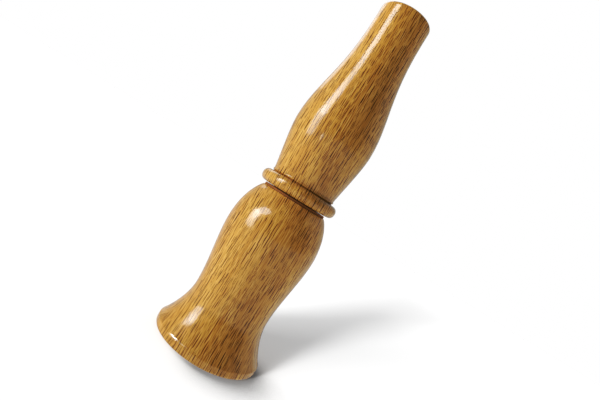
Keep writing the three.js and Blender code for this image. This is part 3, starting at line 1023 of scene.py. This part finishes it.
def add_light(name, kind, place, aim, lean=0):
    """A light that looks at a point and isn't seen itself. It can lean, in degrees."""
    light = bpy.data.lights.new(name, kind)
    lamp = bpy.data.objects.new(name, light)
    bpy.context.scene.collection.objects.link(lamp)
    facing = (aim - place).to_track_quat("-Z", "Y").to_matrix().to_4x4()
    turned = Matrix.Rotation(math.radians(lean), 4, "Z")
    lamp.matrix_world = Matrix.Translation(place) @ facing @ turned
    lamp.visible_camera = False
    return lamp


def lamp_group(name, state, *lit):
    """A collection of what a lamp lights only, or leaves out."""
    group = bpy.data.collections.new(name)
    for piece in lit:
        group.objects.link(piece)
    for linked in group.collection_objects:
        linked.light_linking.link_state = state
    return group


ONLY_FLOOR = lamp_group("lights of the floor", "INCLUDE", floor)
NOT_FLOOR = lamp_group("lights of the call", "EXCLUDE", floor)
UPPER_HALF = lamp_group("lights of the mouthpiece", "INCLUDE", mouthpiece)
LOWER_HALF = lamp_group("lights of the bell", "EXCLUDE", floor, mouthpiece)


def far_size(angle):
    """How wide a far lamp is that spans an angle."""
    return 2 * LAMP_DISTANCE * math.tan(math.radians(angle / 2))


def far_lamp(name, lit, azimuth, elevation, width, height, power):
    """An oval lamp at arm's length, turned to the middle of the call."""
    place = AIM + way_to(azimuth, elevation) * LAMP_DISTANCE
    lamp = add_light(name, "AREA", place, AIM)
    lamp.data.shape = "ELLIPSE"
    lamp.data.size = far_size(width)
    lamp.data.size_y = far_size(height)
    lamp.data.energy = power
    lamp.light_linking.receiver_collection = lit
    return lamp


def near_lamp(name, spot, azimuth, elevation, width, height, power, lean=0):
    """A small oval lamp so close to a spot of the bell that it shines there only."""
    place = spot + NEAR_LAMP_DISTANCE * way_to(azimuth, elevation)
    lamp = add_light(name, "AREA", place, spot, lean)
    lamp.data.shape = "ELLIPSE"
    lamp.data.size = width
    lamp.data.size_y = height
    lamp.data.energy = power
    lamp.visible_diffuse = False
    lamp.light_linking.receiver_collection = LOWER_HALF
    return lamp


def shape_window(lamp, panes):
    """Darkens the face of a window but for its soft-edged panes."""
    lamp.data.use_nodes = True
    wiring = Wiring(lamp.data.node_tree)
    face = wiring.nodes.new("ShaderNodeNewGeometry").outputs["Position"]
    offset = wiring.vector("SUBTRACT", face, lamp.matrix_world.translation)
    azimuth, elevation = WINDOW["azimuth"], WINDOW["elevation"]
    side, up = math.radians(azimuth), math.radians(elevation)
    degree = LAMP_DISTANCE * math.radians(1)
    across = Vector((-math.cos(side), math.sin(side), 0)) / degree
    rise = Vector((math.sin(side) * math.sin(up), math.cos(side) * math.sin(up), math.cos(up)))
    upwards = rise / degree
    sideways = wiring.math("ADD", wiring.vector("DOT_PRODUCT", offset, across, "Value"), azimuth)
    height = wiring.math("ADD", wiring.vector("DOT_PRODUCT", offset, upwards, "Value"), elevation)
    glow = 0
    for (near_side, far_side), (bottom, top), soft, share in panes:
        pane = wiring.math("MULTIPLY", wiring.between(sideways, near_side, far_side, soft),
                           wiring.between(height, bottom, top, soft))
        glow = wiring.math("MULTIPLY_ADD", pane, share, glow)
    wiring.link(glow, wiring.nodes["Emission"].inputs["Strength"])


def add_sun(name, azimuth, elevation, softness, strength):
    """A far lamp that lights only the floor, where the call throws its shadow."""
    sun = add_light(name, "SUN", way_to(azimuth, elevation), Vector((0, 0, 0)))
    sun.data.angle = math.radians(softness)
    sun.data.energy = strength
    sun.light_linking.receiver_collection = ONLY_FLOOR


key = far_lamp("key", NOT_FLOOR, **KEY)
fill = far_lamp("fill", LOWER_HALF, **FILL)
for lamp in (key, fill):
    lamp.visible_glossy = False

upper_window = far_lamp("upper window", UPPER_HALF, **WINDOW)
lower_window = far_lamp("lower window", LOWER_HALF, **WINDOW)
for lamp, panes in ((upper_window, UPPER_PANES), (lower_window, LOWER_PANES)):
    lamp.data.shape = "RECTANGLE"
    shape_window(lamp, panes)
back_panel = far_lamp("back panel", NOT_FLOOR, **BACK_PANEL)
bulb_glint = far_lamp("bulb glint", UPPER_HALF, **BULB_GLINT)
belly_glint = far_lamp("belly glint", LOWER_HALF, **BELLY_GLINT)
for lamp in (upper_window, lower_window, back_panel, bulb_glint, belly_glint):
    lamp.visible_diffuse = False

near_lamp("shoulder lamp", SHOULDER_SPOT, **SHOULDER_LAMP)
rim_lamp = near_lamp("rim lamp", RIM_SPOT, **RIM_LAMP)
rim_lamp.data.spread = math.radians(RIM_LAMP_SPREAD)

for sun in FLOOR_SUNS:
    add_sun(*sun)


def make_room():
    """White walls behind and to the left, and a dark room in front on the right."""
    room = bpy.data.worlds.new("studio")
    bpy.context.scene.world = room
    room.use_nodes = True
    wiring = Wiring(room.node_tree)
    way = wiring.nodes.new("ShaderNodeSeparateXYZ")
    wiring.link(wiring.nodes.new("ShaderNodeTexCoord").outputs["Generated"], way.inputs["Vector"])
    behind = wiring.ramp(way.outputs["Y"], *BACK_EDGE, 0, BACK_GLOW)
    left = wiring.ramp(way.outputs["X"], *LEFT_EDGE, LEFT_GLOW, 0)
    seen = wiring.nodes.new("ShaderNodeLightPath").outputs["Is Camera Ray"]
    walls = wiring.math("MAXIMUM", wiring.math("MAXIMUM", behind, left), seen)
    shown = wiring.nodes["Background"]
    shown.inputs["Color"].default_value = (1, 1, 1, 1)
    wiring.link(walls, shown.inputs["Strength"])


make_room()
tone = bpy.context.scene.view_settings
tone.view_transform = "Standard"
tone.look = "None"
tone.use_curve_mapping = True
curve = tone.curve_mapping.curves[3]
for scene_light, shown_light in TONE_STEPS:
    curve.points.new(scene_light, shown_light)
tone.curve_mapping.update()


# Camera
# Level with the middle of the call and close to it, with a short lens. It is rolled so that
# the call, which stands upright on the floor, leans in the picture.

CAMERA_DISTANCE = 164 * MM
CAMERA_LEVEL = 64.75 * MM
CAMERA_LENS = 27
CAMERA_SENSOR = 36
CAMERA_ROLL = math.radians(31.64)
CAMERA_SHIFT = (0.00198, -0.01138)
CAMERA_NEAR = 5 * MM

data = bpy.data.cameras.new("camera")
data.lens = CAMERA_LENS
data.sensor_width = CAMERA_SENSOR
data.sensor_fit = "HORIZONTAL"
data.shift_x, data.shift_y = CAMERA_SHIFT
data.clip_start = CAMERA_NEAR
camera = bpy.data.objects.new("camera", data)
bpy.context.scene.collection.objects.link(camera)
camera.matrix_world = (
    Matrix.Translation((0, -CAMERA_DISTANCE, CAMERA_LEVEL))
    @ Matrix.Rotation(math.pi / 2, 4, "X")
    @ Matrix.Rotation(CAMERA_ROLL, 4, "Z"))
bpy.context.scene.camera = camera
